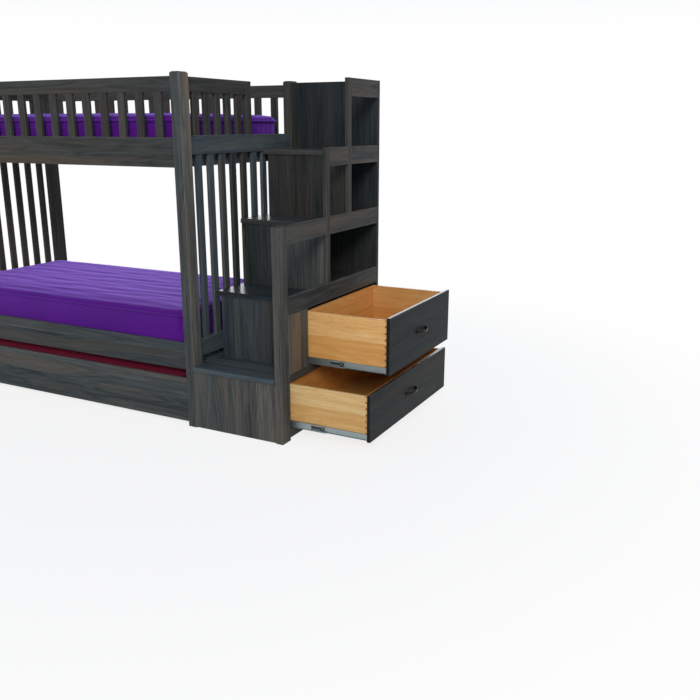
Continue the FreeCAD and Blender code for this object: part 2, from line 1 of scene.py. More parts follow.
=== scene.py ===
import json
import math
from functools import partial
import bpy
import numpy as np
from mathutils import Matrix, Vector


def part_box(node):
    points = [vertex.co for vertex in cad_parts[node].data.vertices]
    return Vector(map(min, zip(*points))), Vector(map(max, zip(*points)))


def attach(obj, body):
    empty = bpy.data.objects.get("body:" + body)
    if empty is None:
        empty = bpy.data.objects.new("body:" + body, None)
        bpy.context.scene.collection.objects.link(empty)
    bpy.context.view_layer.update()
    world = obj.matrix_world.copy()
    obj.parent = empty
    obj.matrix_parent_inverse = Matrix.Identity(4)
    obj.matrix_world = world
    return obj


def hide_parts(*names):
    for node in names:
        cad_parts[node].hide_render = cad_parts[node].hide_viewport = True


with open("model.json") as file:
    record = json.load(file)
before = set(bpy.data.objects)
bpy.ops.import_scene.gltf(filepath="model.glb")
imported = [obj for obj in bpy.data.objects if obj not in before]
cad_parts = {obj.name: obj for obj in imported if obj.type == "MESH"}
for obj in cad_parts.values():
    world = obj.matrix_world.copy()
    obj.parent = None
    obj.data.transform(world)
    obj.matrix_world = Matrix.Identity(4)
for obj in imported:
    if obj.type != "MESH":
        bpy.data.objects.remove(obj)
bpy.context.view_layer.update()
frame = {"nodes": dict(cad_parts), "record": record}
nodes = frame["nodes"]
scene = bpy.context.scene
rng = np.random.default_rng(11)


# Shader nodes

# Sockets of a Mix node that hold colours: its two inputs and its output
first_colour, second_colour, mixed = 6, 7, 2


def colour(code):
    """sRGB hex code as linear RGBA."""
    parts = [int(code[k:k + 2], 16) / 255 for k in (1, 3, 5)]
    return [c / 12.92 if c <= 0.04045 else ((c + 0.055) / 1.055) ** 2.4 for c in parts] + [1.0]


def shifted(code, gain, haze=0.0):
    """Linear RGBA of a hex code, its channels times a gain and plus a haze."""
    return [c * gain + haze for c in colour(code)[:3]] + [1.0]


def fill(tree, node, inputs):
    """Set a node's inputs, or link them where a socket is given."""
    for key, value in inputs.items():
        if isinstance(value, bpy.types.NodeSocket):
            tree.links.new(value, node.inputs[key])
        else:
            node.inputs[key].default_value = value


def add(tree, kind, inputs=None, output=0, **settings):
    """One shader node with its settings and links, given by one of its outputs."""
    node = tree.nodes.new("ShaderNode" + kind)
    for name, value in settings.items():
        setattr(node, name, value)
    fill(tree, node, inputs or {})
    return node.outputs[output]


def new_material(name):
    """Empty node material: the material, its tree and its shader."""
    material = bpy.data.materials.new(name)
    material.use_nodes = True
    tree = material.node_tree
    return material, tree, tree.nodes["Principled BSDF"]


def per_metre(mm):
    """Scale of a pattern whose features have a real size in millimetres."""
    return 1000.0 / mm


# Wood

# Real sizes in millimetres: the figure of flat-sawn boards, bands of early and late wood, bundles of
# fibres, and pores, which are really about 0.3 mm wide and are drawn coarser so that they show
figure_mm, band_mm, fibre_mm, pore_mm = 110.0, 15.0, 2.4, 0.9
# Scale along the grain against that across it: of the figure, and of bands, fibres and pores
figure_draw, fibre_draw = 0.09, 0.025
# Half rings over the whole range of the figure's noise, and how far apart in the log two staves may lie,
# in metres
ring_count, stave_jump = 26.0, 9.0
# Levels of noise where warm streaks, and pores, begin to show and show in full
streak_start, streak_full = 0.45, 0.70
pore_start, pore_full = 0.60, 0.72
# How much a pore darkens, how high the fibres stand against its depth, and how much they dull the gloss
pore_dark, fibre_relief, fibre_dull = 0.5, 0.5, 0.18
# Depth of the grain, and the width over which an edge is painted pale, as rubbing wear and as a painted
# highlight, in metres
grain_depth, rub_and_highlight_radius = 0.0003, 0.0018
# Cosine of the turn at an eased edge where the pale edge, part wear and part painted highlight, begins and
# where it is full
rub_and_highlight_start, rub_and_highlight_full = 0.995, 0.85
coat_roughness = 0.22


def wood(name, stops, streak, pore, bare_and_highlight, rough, gloss, warm, stave, lots, ends, lacquer, wear_and_highlight):
    """Glued-up boards from their grain attribute: broad rings are the contour lines of noise drawn out along
    the grain, over streaks, fibres and open pores; each stave has its tone and each board a tone that also
    carries painted light and shade, end grain is darker, edges are painted pale as wear and as a painted
    highlight, and faces that lie level carry a thicker coat of lacquer."""
    material, tree, shader = new_material(name)
    put = partial(add, tree)
    grain = put("Attribute", output="Vector", attribute_name="grain")
    end = put("Attribute", output="Fac", attribute_name="end_grain")
    level = put("Attribute", output="Fac", attribute_name="level")
    tone = put("Attribute", output="Color", attribute_name="tone")

    # Each stave comes from its own place in the log and has its own tone
    across = put("SeparateXYZ", {0: grain}, "Y")
    strip = put("Math", {0: put("Math", {0: across, 1: stave}, operation="DIVIDE")}, operation="FLOOR")
    chance = put("TexWhiteNoise", {"W": strip}, "Color", noise_dimensions="1D")
    lot = put("SeparateXYZ", {0: chance}, "Z")
    own = put("VectorMath", {0: chance, 1: [stave_jump] * 3, 2: grain}, operation="MULTIPLY_ADD")
    long = put("Mapping", {"Vector": own, "Scale": (figure_draw, 1.0, 1.0)})
    fine = put("Mapping", {"Vector": own, "Scale": (fibre_draw, 1.0, 1.0)})

    # Rings, bands, fibres and stave tones add up to the body, which picks a colour between the stops
    swirl = put("TexNoise", {"Vector": long, "Scale": per_metre(figure_mm), "Detail": 2.0})
    climb = put("Math", {0: swirl, 1: ring_count}, operation="MULTIPLY")
    ring = put("Math", {0: climb, 1: 1.0}, operation="PINGPONG")
    band = put("TexNoise", {"Vector": fine, "Scale": per_metre(band_mm), "Detail": 4.0, "Roughness": 0.7})
    fibre = put("TexNoise", {"Vector": fine, "Scale": per_metre(fibre_mm), "Detail": 3.0, "Roughness": 0.6})
    body = 0.0
    for part, share in ((ring, 0.10), (band, 0.46), (fibre, 0.20), (lot, lots)):
        body = put("Math", {0: part, 1: share, 2: body}, operation="MULTIPLY_ADD")
    base = colour(stops[0][1])
    for (start, _), (stop, code) in zip(stops, stops[1:]):
        rise = put("MapRange", {"Value": body, "From Min": start, "From Max": stop})
        base = put("Mix", {0: rise, first_colour: base, second_colour: colour(code)}, mixed, data_type="RGBA")

    # Warm streaks, dark pores and end grain, the board's tone with its painted light and shade, and pale
    # edges, part wear and part painted highlight, go over it in that order
    broad = put("TexNoise", {"Vector": long, "Scale": per_metre(figure_mm), "Detail": 2.0, "Roughness": 0.55})
    patch = put("MapRange", {"Value": broad, "From Min": streak_start, "From Max": streak_full,
                             "To Max": warm})
    holes = put("TexNoise", {"Vector": fine, "Scale": per_metre(pore_mm), "Detail": 1.0})
    pits = put("MapRange", {"Value": holes, "From Min": pore_start, "From Max": pore_full})
    dark = put("Math", {0: put("Math", {0: pits, 1: pore_dark}, operation="MULTIPLY"),
                        1: put("Math", {0: end, 1: ends}, operation="MULTIPLY")}, operation="MAXIMUM")
    # Pale edges: a painted highlight along the eased edges, together with rubbing wear
    eased = put("Bevel", {"Radius": rub_and_highlight_radius}, samples=4)
    turned = put("VectorMath", {0: eased, 1: put("NewGeometry", output="Normal")}, "Value",
                 operation="DOT_PRODUCT")
    rub_and_highlight = put("MapRange", {"Value": turned, "From Min": rub_and_highlight_start, "From Max": rub_and_highlight_full, "To Max": wear_and_highlight})
    for share, over, blend in ((patch, colour(streak), "MIX"), (dark, colour(pore), "MIX"),
                               (1.0, tone, "MULTIPLY"), (rub_and_highlight, colour(bare_and_highlight), "MIX")):
        base = put("Mix", {0: share, first_colour: base, second_colour: over}, mixed,
                   data_type="RGBA", blend_type=blend)

    raised = put("Math", {0: fibre, 1: fibre_relief}, operation="MULTIPLY")
    relief = put("Math", {0: raised, 1: pits}, operation="SUBTRACT")
    fill(tree, shader, {
        "Base Color": base,
        "Roughness": put("Math", {0: fibre, 1: fibre_dull, 2: rough}, operation="MULTIPLY_ADD"),
        "Specular IOR Level": gloss,
        "Coat Weight": put("Math", {0: level, 1: lacquer}, operation="MULTIPLY"),
        "Coat Roughness": coat_roughness,
        "Normal": put("Bump", {"Height": relief, "Distance": grain_depth, "Strength": 0.6})})
    return material


# Metal

# Real sizes in millimetres: lines of the rolling mill and clouds of the plating
roll_line_mm, metal_cloud_mm = 1.1, 17.0
# Scale of the lines along X against that across them, and their depth in metres
roll_draw, line_depth = 0.03, 0.00005
# Brightness of the dullest places, and how much the clouds roughen the surface
dull_share, cloud_rough = 0.78, 0.15


def metal(name, code, rough, streaks):
    """Rolled or cast metal with fine streaks along X and a cloudy sheen."""
    material, tree, shader = new_material(name)
    put = partial(add, tree)
    place = put("TexCoord", output="Object")
    drawn = put("Mapping", {"Vector": place, "Scale": (roll_draw, 1.0, 1.0)})
    lines = put("TexNoise", {"Vector": drawn, "Scale": per_metre(roll_line_mm), "Detail": 2.0})
    cloud = put("TexNoise", {"Vector": place, "Scale": per_metre(metal_cloud_mm), "Detail": 3.0})
    mottle = put("Math", {0: lines, 1: streaks, 2: cloud}, operation="MULTIPLY_ADD")
    dull = shifted(code, dull_share)
    fill(tree, shader, {
        "Base Color": put("Mix", {0: mottle, first_colour: dull, second_colour: colour(code)}, mixed,
                          data_type="RGBA"),
        "Metallic": 1.0,
        "Roughness": put("Math", {0: cloud, 1: cloud_rough, 2: rough}, operation="MULTIPLY_ADD"),
        "Normal": put("Bump", {"Height": lines, "Distance": line_depth, "Strength": 0.4})})
    return material


# Plastic

# Grain of the sparked mould in millimetres, and its depth in metres
spark_mm, spark_depth = 0.7, 0.0001
# Gain and haze of the palest grains, and how much they roughen the surface
pale_gain, pale_haze, spark_rough = 1.5, 0.004, 0.2


def plastic(name, code, rough):
    """Moulded plastic with a fine spark texture."""
    material, tree, shader = new_material(name)
    put = partial(add, tree)
    place = put("TexCoord", output="Object")
    spark = put("TexNoise", {"Vector": place, "Scale": per_metre(spark_mm), "Detail": 2.0})
    pale = shifted(code, pale_gain, pale_haze)
    fill(tree, shader, {
        "Base Color": put("Mix", {0: spark, first_colour: colour(code), second_colour: pale}, mixed,
                          data_type="RGBA"),
        "Roughness": put("Math", {0: spark, 1: spark_rough, 2: rough}, operation="MULTIPLY_ADD"),
        "Normal": put("Bump", {"Height": spark, "Distance": spark_depth, "Strength": 0.4})})
    return material


# Cloth

# Real sizes in millimetres: fuzz, slack places, and threads, which are really about 0.5 mm apart and are
# drawn coarser so that they show
fuzz_mm, slack_mm, thread_mm = 1.4, 110.0, 15.0
# Scale of the ribs along the bed and up its sides against that across the bed
rib_draw = 0.12
# Height of threads and ribs in metres
weave_depth = 0.001
# Roughness of the cover, and how much the fuzz adds to it
cover_rough, fuzz_rough = 0.55, 0.2
# Bands that a Wave node draws in a metre at scale 1
waves_per_scale = 20.0 / (2 * math.pi)


def cloth(name, code, shade, glow, rib_mm):
    """Woven cover: crossing threads from waves, fine ribs along the bed with painted shade in their hollows,
    and slack cloud-like tones.
    """
    material, tree, shader = new_material(name)
    put = partial(add, tree)
    place = put("TexCoord", output="Object")
    threads = 0.0
    for direction in ("X", "Y", "Z"):
        wave = put("TexWave", {"Vector": place, "Scale": per_metre(thread_mm) / waves_per_scale,
                               "Distortion": 0.4, "Detail": 1.0, "Detail Scale": 2.0}, "Fac",
                   wave_type="BANDS", bands_direction=direction)
        threads = put("Math", {0: wave, 1: 0.33, 2: threads}, operation="MULTIPLY_ADD")
    cloud = put("TexNoise", {"Vector": place, "Scale": per_metre(slack_mm), "Detail": 3.0})
    fuzz = put("TexNoise", {"Vector": place, "Scale": per_metre(fuzz_mm), "Detail": 2.0})
    drawn = put("Mapping", {"Vector": place, "Scale": (rib_draw, 1.0, rib_draw)})
    ribs = put("TexNoise", {"Vector": drawn, "Scale": per_metre(rib_mm), "Detail": 1.0})
    # The colour falls toward the shade colour where ribs and threads lie low: painted shade in their hollows;
    # slack clouds and fuzz add tone that differs at random
    depth = 0.0
    for part, share in ((threads, 0.3), (cloud, 0.2), (fuzz, 0.2), (ribs, 0.4)):
        depth = put("Math", {0: part, 1: share, 2: depth}, operation="MULTIPLY_ADD")
    raised = 0.0
    for part, share in ((threads, 0.3), (fuzz, 0.2), (ribs, 4.0)):
        raised = put("Math", {0: part, 1: share, 2: raised}, operation="MULTIPLY_ADD")
    fill(tree, shader, {
        "Base Color": put("Mix", {0: depth, first_colour: colour(shade), second_colour: colour(code)}, mixed,
                          data_type="RGBA"),
        "Roughness": put("Math", {0: fuzz, 1: fuzz_rough, 2: cover_rough}, operation="MULTIPLY_ADD"),
        "Specular IOR Level": 0.05,
        "Sheen Weight": 1.0,
        "Sheen Roughness": 0.45,
        "Sheen Tint": colour(glow),
        "Normal": put("Bump", {"Height": raised, "Distance": weave_depth, "Strength": 0.8})})
    return material


# Boards

# Panels whose grain runs up, and steps and floors whose grain runs across the stair
upright = {"stair_risers", "stair_left_panel", "stair_back_panel", "stair_filler_panel", "drawer_partition"}
crosswise = {"stair_landing", "stair_treads", "cubby_floors"}
# Drawer sides are glued from two planks, with the joint a little above half-way up
two_planks = {"upper_drawer_sides", "lower_drawer_sides"}
plank, joint_share = 0.125, 0.55
# How light and how warm each piece is painted, or each of its boards from the lowest up and then from the
# front back. This is partly the tone each board took from the stain and partly painted light and shade:
# darker drawer fronts, drawer insides and cubby backs where less light falls, risers that darken deeper into
# the stair, and lighter boards where light falls or bounces. Two more numbers, where given, say how much
# lighter and warmer a board gets from the middle of its width to its right or back edge, a painted fall of
# light across it.
stain_and_painted_light = {
    "stair_newel": [(1.55, 0.01)],
    # Risers: painted light low down, painted shade deeper into the stair, and a painted fall of light across
    # the second and third
    "stair_risers": [(1.55, 0.02, 0.06, 0.05), (0.86, -0.07, -0.45, 0.16), (1.06, -0.08, 0.45, 0.04),
                     (0.8, 0.0)],
    "stair_treads": [(1.36, -0.22, -0.08), (0.68, -0.2), (0.9, -0.1)],
    # Left stair panel darkened so that its edge beside the risers shows as a shadow gap: painted shade
    "stair_left_panel": [(0.3, 0.0)],
    "stair_back_panel": [(0.6, -0.14)],
    # Filler panel lightened and warmed as by light bounced off the drawers: painted light
    "stair_filler_panel": [(2.05, 0.12)],
    "stair_side_rails": [(1.3, 0.0)],
    "cubby_floors": [(0.6, 0.0)],
    # Drawer fronts darkened against the light that falls on them: painted shade
    "upper_drawer_front": [(0.45, -0.14)],
    "lower_drawer_front": [(0.48, -0.1)],
    # Drawer ends and far sides darker inside the boxes, as in the shade of the drawer above: painted shade
    "upper_drawer_ends": [(0.76, 0.3)],
    "lower_drawer_ends": [(0.75, 0.25)],
    "upper_drawer_sides": [(1.06, 0.0), (0.8, 0.1)],
    "lower_drawer_sides": [(0.99, -0.1), (0.5, 0.2)],
    "front_right_post": [(1.42, -0.04)],
    "right_end_rails": [(1.65, -0.24)],
    "right_end_slats": [(1.45, -0.2), (1.5, -0.18), (1.65, -0.06), (1.0, -0.06), (0.85, -0.05)],
    "lower_front_rail": [(1.05, -0.12)],
    # Ledgers lightened so that the end ledger's face shows out of the shade under the end rail: painted light
    "ledgers": [(1.7, -0.2)],
    "trundle_front": [(1.4, -0.07)],
}
# Light and warmth of all other boards
as_mixed = (1.0, 0.0)
# Faces that look to the right are painted lighter, and the post's also warmer, for the light that falls on
# them from the right and, on the end ledger, to lift its face out of the shade: light and warmth on top of
# those
right_faces_painted_light = {"front_right_post": (1.83, 0.1), "ledgers": (2.6, 0.0)}
# Metres of log, each way from its middle, that boards are taken from
log_reach = 20.0
# Part of a unit normal along an axis above which a face looks that way
facing_share = 0.7
# Power that keeps the lacquer's level attribute to faces that look nearly straight up
level_power = 8
# Digits of a metre to which vertices at one place agree
weld_digits = 5


def tint(light, warmth):
    """Factors on red, green and blue that lighten and warm a colour."""
    return np.stack([light * (1 + warmth), light, light * (1 - warmth)], -1)


def read_triangles(mesh):
    """Points, triangles and each vertex's normal of a mesh whose sides share no vertices at their edges."""
    points = np.zeros(len(mesh.vertices) * 3)
    mesh.vertices.foreach_get("co", points)
    points = points.reshape(-1, 3)
    faces = np.zeros(len(mesh.polygons) * 3, int)
    mesh.polygons.foreach_get("vertices", faces)
    facing = np.zeros(len(mesh.polygons) * 3)
    mesh.polygons.foreach_get("normal", facing)
    normals = np.zeros_like(points)
    normals[faces] = np.repeat(facing.reshape(-1, 3), 3, axis=0)
    return points, faces.reshape(-1, 3), normals


def find_boards(points, faces):
    """Board number of each vertex: vertices at one place are joined, then triangles join them up."""
    unique, index = np.unique(np.round(points, weld_digits), axis=0, return_inverse=True)
    index = index.reshape(-1)
    label = np.arange(len(unique))
    welded = index[faces]
    for _ in range(len(unique)):
        low = label[welded].min(axis=1)
        before = label.copy()
        for corner in range(3):
            np.minimum.at(label, welded[:, corner], low)
        label = label[label]
        if (label == before).all():
            break
    return label[index]


def grain_axis(name, size):
    """Axis that a board's grain runs along: up in panels, across in steps, else along its longest side."""
    if name in upright:
        return 2
    if name in crosswise:
        return 0
    return int(size.argmax())


def lay_grain(name):
    """Give a wooden node its attributes. The grain is each board's own place in the log, with its first axis
    along the grain and its second along the board's width. The tone, which carries painted light and shade as
    well as the wood's own colour, slopes evenly over that width as a painted fall of light. End grain marks
    faces that look along the grain, and level those that look up."""
    mesh = nodes[name].data
    points, faces, normals = read_triangles(mesh)
    boards = find_boards(points, faces)
    tones = stain_and_painted_light.get(name, [as_mixed])
    tone = np.ones_like(points)
    grain = np.zeros_like(points)
    end = np.zeros(len(points))
    level = np.clip(normals[:, 2], 0, 1) ** level_power
    middle = {board: points[boards == board].mean(axis=0) for board in np.unique(boards)}
    lowest_first = sorted(middle, key=lambda board: (round(middle[board][2], 2), middle[board][1]))
    for count, board in enumerate(lowest_first):
        chosen = boards == board
        corners = points[chosen]
        size = np.ptp(corners, axis=0)
        axis = grain_axis(name, size)
        order = [axis] + sorted({0, 1, 2} - {axis}, key=lambda other: -size[other])
        width = corners[:, order[1]]
        # A tone of two numbers has no painted slope of light
        light, warmth, rise, warming = (*tones[count % len(tones)], 0.0, 0.0)[:4]
        beside = 2 * (width - width.min()) / np.ptp(width) - 1
        tone[chosen] = tint(light * (1 + rise * beside), warmth + warming * beside)
        shift = rng.uniform(-log_reach, log_reach, 3)
        if name in two_planks:
            joint = width.min() + joint_share * np.ptp(width)
            shift[1] = round(shift[1] / plank) * plank - joint
        grain[chosen] = corners[:, order] + shift
        end[chosen] = np.abs(normals[chosen][:, axis]) > facing_share
    # Painted light on the faces that look to the right
    if name in right_faces_painted_light:
        tone[normals[:, 0] > facing_share] *= tint(*right_faces_painted_light[name])
    for word, values in (("grain", grain), ("tone", tone)):
        mesh.attributes.new(word, "FLOAT_VECTOR", "POINT").data.foreach_set("vector", values.reshape(-1))
    for word, values in (("end_grain", end), ("level", level)):
        mesh.attributes.new(word, "FLOAT", "POINT").data.foreach_set("value", values)


# Finishes

materials = {
    # Charcoal stain on oak under satin lacquer: dark cool bands, black pores, pale edges that are part wear
    # and part painted highlight, a soft shine
    "stained_oak": wood("stained_oak", [(0.3, "#282a2a"), (0.5, "#3e403f"), (0.72, "#565652")],
                        "#574b40", "#151717", "#7d756c", rough=0.30, gloss=0.03, warm=0.5, stave=0.09,
                        lots=0.12, ends=0.4, lacquer=0.4, wear_and_highlight=0.6),
    # Clear-lacquered maple of the drawer boxes: honey tones that differ from plank to plank
    "drawer_maple": wood("drawer_maple", [(0.3, "#bb8343"), (0.5, "#cc9b5d"), (0.72, "#ddb882")],
                         "#c38d4c", "#7a4a1e", "#e6c592", rough=0.4, gloss=0.25, warm=0.35, stave=plank,
                         lots=0.25, ends=0.75, lacquer=0.12, wear_and_highlight=0.4),
    # Rotary-cut plywood of the drawer bottoms: wide even figure
    "drawer_plywood": wood("drawer_plywood", [(0.3, "#b57f3d"), (0.5, "#c6934d"), (0.72, "#d2a45e")],
                           "#b67f3c", "#8b5d2c", "#d2a45e", rough=0.45, gloss=0.25, warm=0.4, stave=0.6,
                           lots=0.24, ends=0.4, lacquer=0.05, wear_and_highlight=0.2),
    # Planed pine of the decks, without lacquer: pale and dull
    "deck_pine": wood("deck_pine", [(0.3, "#b58d58"), (0.5, "#c8a572"), (0.72, "#d6ba8c")],
                      "#b98d55", "#94693a", "#dcc39a", rough=0.5, gloss=0.3, warm=0.35, stave=0.4,
                      lots=0.24, ends=0.4, lacquer=0.0, wear_and_highlight=0.3),
    # Zinc-plated rolled steel of slides and forks: blurred grey reflections with fine lines
    "zinc_steel": metal("zinc_steel", "#98a3a4", rough=0.34, streaks=0.5),
    # Cast pulls in dark bronze: nearly black with small highlights
    "bronze_pull": metal("bronze_pull", "#302c2a", rough=0.3, streaks=0.2),
    # Moulded black plastic of the release levers: dull black
    "black_plastic": plastic("black_plastic", "#0d0e0f", rough=0.4),
    # Moulded grey plastic of the caster wheels: dull dark grey
    "grey_caster": plastic("grey_caster", "#2b2d30", rough=0.5),
    # Woven mattress covers, purple and red: a sheen that pales them where they are seen at a slant
    "purple_ticking": cloth("purple_ticking", "#591486", shade="#330758", glow="#ae84ff", rib_mm=28.0),
    "red_ticking": cloth("red_ticking", "#5c0f26", shade="#360816", glow="#c04a60", rib_mm=22.0),
}
wooden = {"stained_oak", "drawer_maple", "drawer_plywood", "deck_pine"}
finish_of = {entry["node"]: entry["material_slot"] for entry in frame["record"]["subparts"]}
for node_name in sorted(finish_of):
    slot_name = finish_of[node_name]
    if slot_name in wooden:
        lay_grain(node_name)
    nodes[node_name].data.materials.clear()
    nodes[node_name].data.materials.append(materials[slot_name])


# New pieces

def new_piece(name, points, faces, material):
    """Smooth-shaded object at the origin from lists of points and faces."""
    mesh = bpy.data.meshes.new(name)
    mesh.from_pydata(points, [], faces)
    mesh.update()
    mesh.shade_smooth()
    mesh.materials.append(material)
    piece = bpy.data.objects.new(name, mesh)
    scene.collection.objects.link(piece)
    return piece


def outward_normals(outline):
    """Unit normals of a closed plan outline that runs anticlockwise: each is square to the line between
    the points before and after it."""
    ahead = np.roll(outline, -1, axis=0) - np.roll(outline, 1, axis=0)
    normal = np.stack([ahead[:, 1], -ahead[:, 0]], -1)
    return normal / np.linalg.norm(normal, axis=1)[:, None]


# Mattresses, in metres

# The cover begins a little inside the solid's sides, because it swells
cover_margin = 0.004
# Radius of the corners in plan and of the rolled edges, how far the sides draw in, and rise of the crown
corner_radius, roll, waist, crown = 0.07, 0.026, 0.008, 0.009
# Height of the creases, the distance from the roll over which they fade in, and how far they sway, in radians
crease, crease_fade, crease_sway = 0.004, 0.04, 1.4
# Width across the bed, length of a sway along it and phase of each set of creases
crease_sets = ((0.07, 0.9, 0.0), (0.095, 1.3, 2.0), (0.14, 0.7, 4.0))
# Spacing of the grid, and the places of the closer lines that carry the roll, in from the edge
grid_step = 0.022
edge_places = np.array([0.0, 0.003, 0.007, 0.012, 0.018, 0.026, 0.036])
# Cloth of the covers, the frames that it is simulated for, and the farthest that a point may move
cover_cloth = {"quality": 4, "mass": 0.3, "tension_stiffness": 20, "compression_stiffness": 20,
               "shear_stiffness": 8, "bending_stiffness": 0.6, "use_pressure": True,
               "uniform_pressure_force": 3.0, "shrink_min": -0.012}
swell_frames, swell_cap = 20, 0.006
# Tape: radius, how far it is sunk into the cover, its height as a share of the roll, the least run between
# its rings along the straight sides, points of a corner, and sides
tape_radius, tape_sunk, tape_height_share, tape_run = 0.0045, 0.001, 0.9, 0.03
tape_corner_points, tape_sides = 9, 8


def edge_lines(half):
    """Grid lines from -half to half, close together at both ends."""
    inner = half - edge_places[-1]
    middle = np.linspace(-inner, inner, max(int(2 * inner / grid_step), 2))
    return np.concatenate([-half + edge_places[:-1], middle, (half - edge_places[:-1])[::-1]])


def round_corners(x, y, half_x, half_y):
    """Points of a rectangle moved so that its corner squares become quarter discs, and each point's
    distance in from the rounded outline."""
    square_x = np.clip(np.abs(x) - (half_x - corner_radius), 0, None) / corner_radius
    square_y = np.clip(np.abs(y) - (half_y - corner_radius), 0, None) / corner_radius
    disc_x = square_x * np.sqrt(1 - square_y ** 2 / 2)
    disc_y = square_y * np.sqrt(1 - square_x ** 2 / 2)
    plan_x = np.sign(x) * (np.minimum(np.abs(x), half_x - corner_radius) + disc_x * corner_radius)
    plan_y = np.sign(y) * (np.minimum(np.abs(y), half_y - corner_radius) + disc_y * corner_radius)
    from_corner = corner_radius * (1 - np.hypot(disc_x, disc_y))
    from_side = np.minimum(half_x - np.abs(x), half_y - np.abs(y))
    return plan_x, plan_y, np.where((square_x > 0) & (square_y > 0), from_corner, from_side)


def mattress_shape(low, high):
    """Closed mattress: two gridded faces with rolled edges joined by drawn-in sides. The roll is a
    quarter circle over the last stretch to the outline, the crown a product of two quartics, the waist
    a half sine between the rolls, and the creases three sines across the bed that sway along it. Gives
    the points, the faces and the number of points on one gridded face."""
    half_x, half_y, half_z = (high - low) / 2
    x, y = np.meshgrid(edge_lines(half_x), edge_lines(half_y), indexing="ij")
    plan_x, plan_y, inward = round_corners(x, y, half_x, half_y)
    fall = np.clip(roll - inward, 0, roll)
    drop = roll - np.sqrt(np.clip(roll ** 2 - fall ** 2, 0, None))
    dome = crown * (1 - (x / half_x) ** 4) * (1 - (y / half_y) ** 4)
    creases = np.zeros_like(x)
    for width, length, phase in crease_sets:
        sway = crease_sway * np.sin(2 * math.pi * x / length + phase)
        creases += np.sin(2 * math.pi * y / width + phase + sway)
    creases *= crease / len(crease_sets) * np.clip((inward - roll) / crease_fade, 0, 1)
    top = np.stack([plan_x, plan_y, half_z - crown - drop + dome + creases], -1).reshape(-1, 3)
    bottom = np.stack([plan_x, plan_y, -half_z + drop], -1).reshape(-1, 3)

    count = x.size
    number = np.arange(count).reshape(x.shape)
    around = np.concatenate([number[:-1, 0], number[-1, :-1], number[:0:-1, -1], number[0, :0:-1]])
    rim, foot = top[around], bottom[around]
    levels = max(int((rim[0, 2] - foot[0, 2]) / grid_step), 3)
    down = (np.arange(1, levels) / levels)[:, None, None]
    sides = rim * (1 - down) + foot * down
    sides[..., :2] -= outward_normals(rim[:, :2]) * waist * np.sin(math.pi * down)
    points = np.concatenate([top, bottom, sides.reshape(-1, 3)]) + (low + high) / 2

    lid = np.stack([number[:-1, :-1], number[1:, :-1], number[1:, 1:], number[:-1, 1:]], -1).reshape(-1, 4)
    side_numbers = np.arange(2 * count, len(points)).reshape(levels - 1, -1)
    rings = np.vstack([around, side_numbers, around + count])
    upper, lower = rings[:-1], rings[1:]
    walls = np.stack([lower, np.roll(lower, -1, axis=1), np.roll(upper, -1, axis=1), upper], -1)
    faces = np.concatenate([lid, lid[:, ::-1] + count, walls.reshape(-1, 4)])
    return points.tolist(), faces.tolist(), count


def swell(piece, held):
    """Blow a closed cover up with cloth under pressure, its underside held, and keep every point
    within a cap of where it began: its shift is the cap times the hyperbolic tangent of their ratio."""
    mesh = piece.data
    start = np.zeros(len(mesh.vertices) * 3)
    mesh.vertices.foreach_get("co", start)
    group = piece.vertex_groups.new(name="held")
    group.add(held, 1.0, "REPLACE")
    modifier = piece.modifiers.new("cloth", "CLOTH")
    for word, value in cover_cloth.items():
        setattr(modifier.settings, word, value)
    modifier.settings.vertex_group_mass = "held"
    modifier.settings.effector_weights.gravity = 0.0
    modifier.point_cache.frame_start = 1
    modifier.point_cache.frame_end = swell_frames
    for number in range(1, swell_frames + 1):
        scene.frame_set(number)
    blown = piece.evaluated_get(bpy.context.evaluated_depsgraph_get())
    moved = blown.to_mesh()
    end = np.zeros(len(moved.vertices) * 3)
    moved.vertices.foreach_get("co", end)
    blown.to_mesh_clear()
    piece.modifiers.remove(modifier)
    piece.vertex_groups.remove(group)
    shift = (end - start).reshape(-1, 3)
    length = np.linalg.norm(shift, axis=1)
    kept = swell_cap * np.tanh(length / swell_cap)
    shift *= (kept / np.maximum(length, 1e-9))[:, None]
    mesh.vertices.foreach_set("co", start + shift.reshape(-1))
    mesh.update()
    scene.frame_set(1)


def tape_shape(low, high, height):
    """Sewn tape round a mattress: a thin tube along the rounded outline at one height. The outline is four
    quarter circles, with the runs between them divided evenly. Gives the points and the faces."""
    half_x, half_y = ((high - low) / 2)[:2] - tape_sunk
    side_x, side_y = np.array([[1, 1, -1, -1], [-1, 1, 1, -1]])[..., None]
    quarter = np.arange(-1, 3)[:, None] * math.pi / 2
    turn = np.linspace(0, math.pi / 2, tape_corner_points) + quarter
    bend = np.stack([side_x * (half_x - corner_radius) + corner_radius * np.cos(turn),
                     side_y * (half_y - corner_radius) + corner_radius * np.sin(turn)], -1).reshape(-1, 2)
    run = np.roll(bend, -1, axis=0) - bend
    parts = np.maximum((np.linalg.norm(run, axis=1) / tape_run).astype(int), 1)
    begun = np.repeat(np.arange(len(bend)), parts)
    done = np.arange(len(begun)) - np.repeat(np.cumsum(parts) - parts, parts)
    outline = bend[begun] + run[begun] * (done / parts[begun])[:, None]

    angle = (np.arange(tape_sides) * 2 * math.pi / tape_sides)[:, None]
    outward = outward_normals(outline) * tape_radius * np.cos(angle)[..., None]
    plan = outline + outward + ((low + high) / 2)[:2]
    rise = np.broadcast_to(height + tape_radius * np.sin(angle), plan.shape[:2])
    points = np.concatenate([plan, rise[..., None]], -1).reshape(-1, 3)
    here = np.arange(len(points)).reshape(plan.shape[:2])
    there = np.roll(here, -1, axis=0)
    faces = np.stack([here, np.roll(here, -1, axis=1), np.roll(there, -1, axis=1), there], -1)
    return points.tolist(), faces.reshape(-1, 4).tolist()


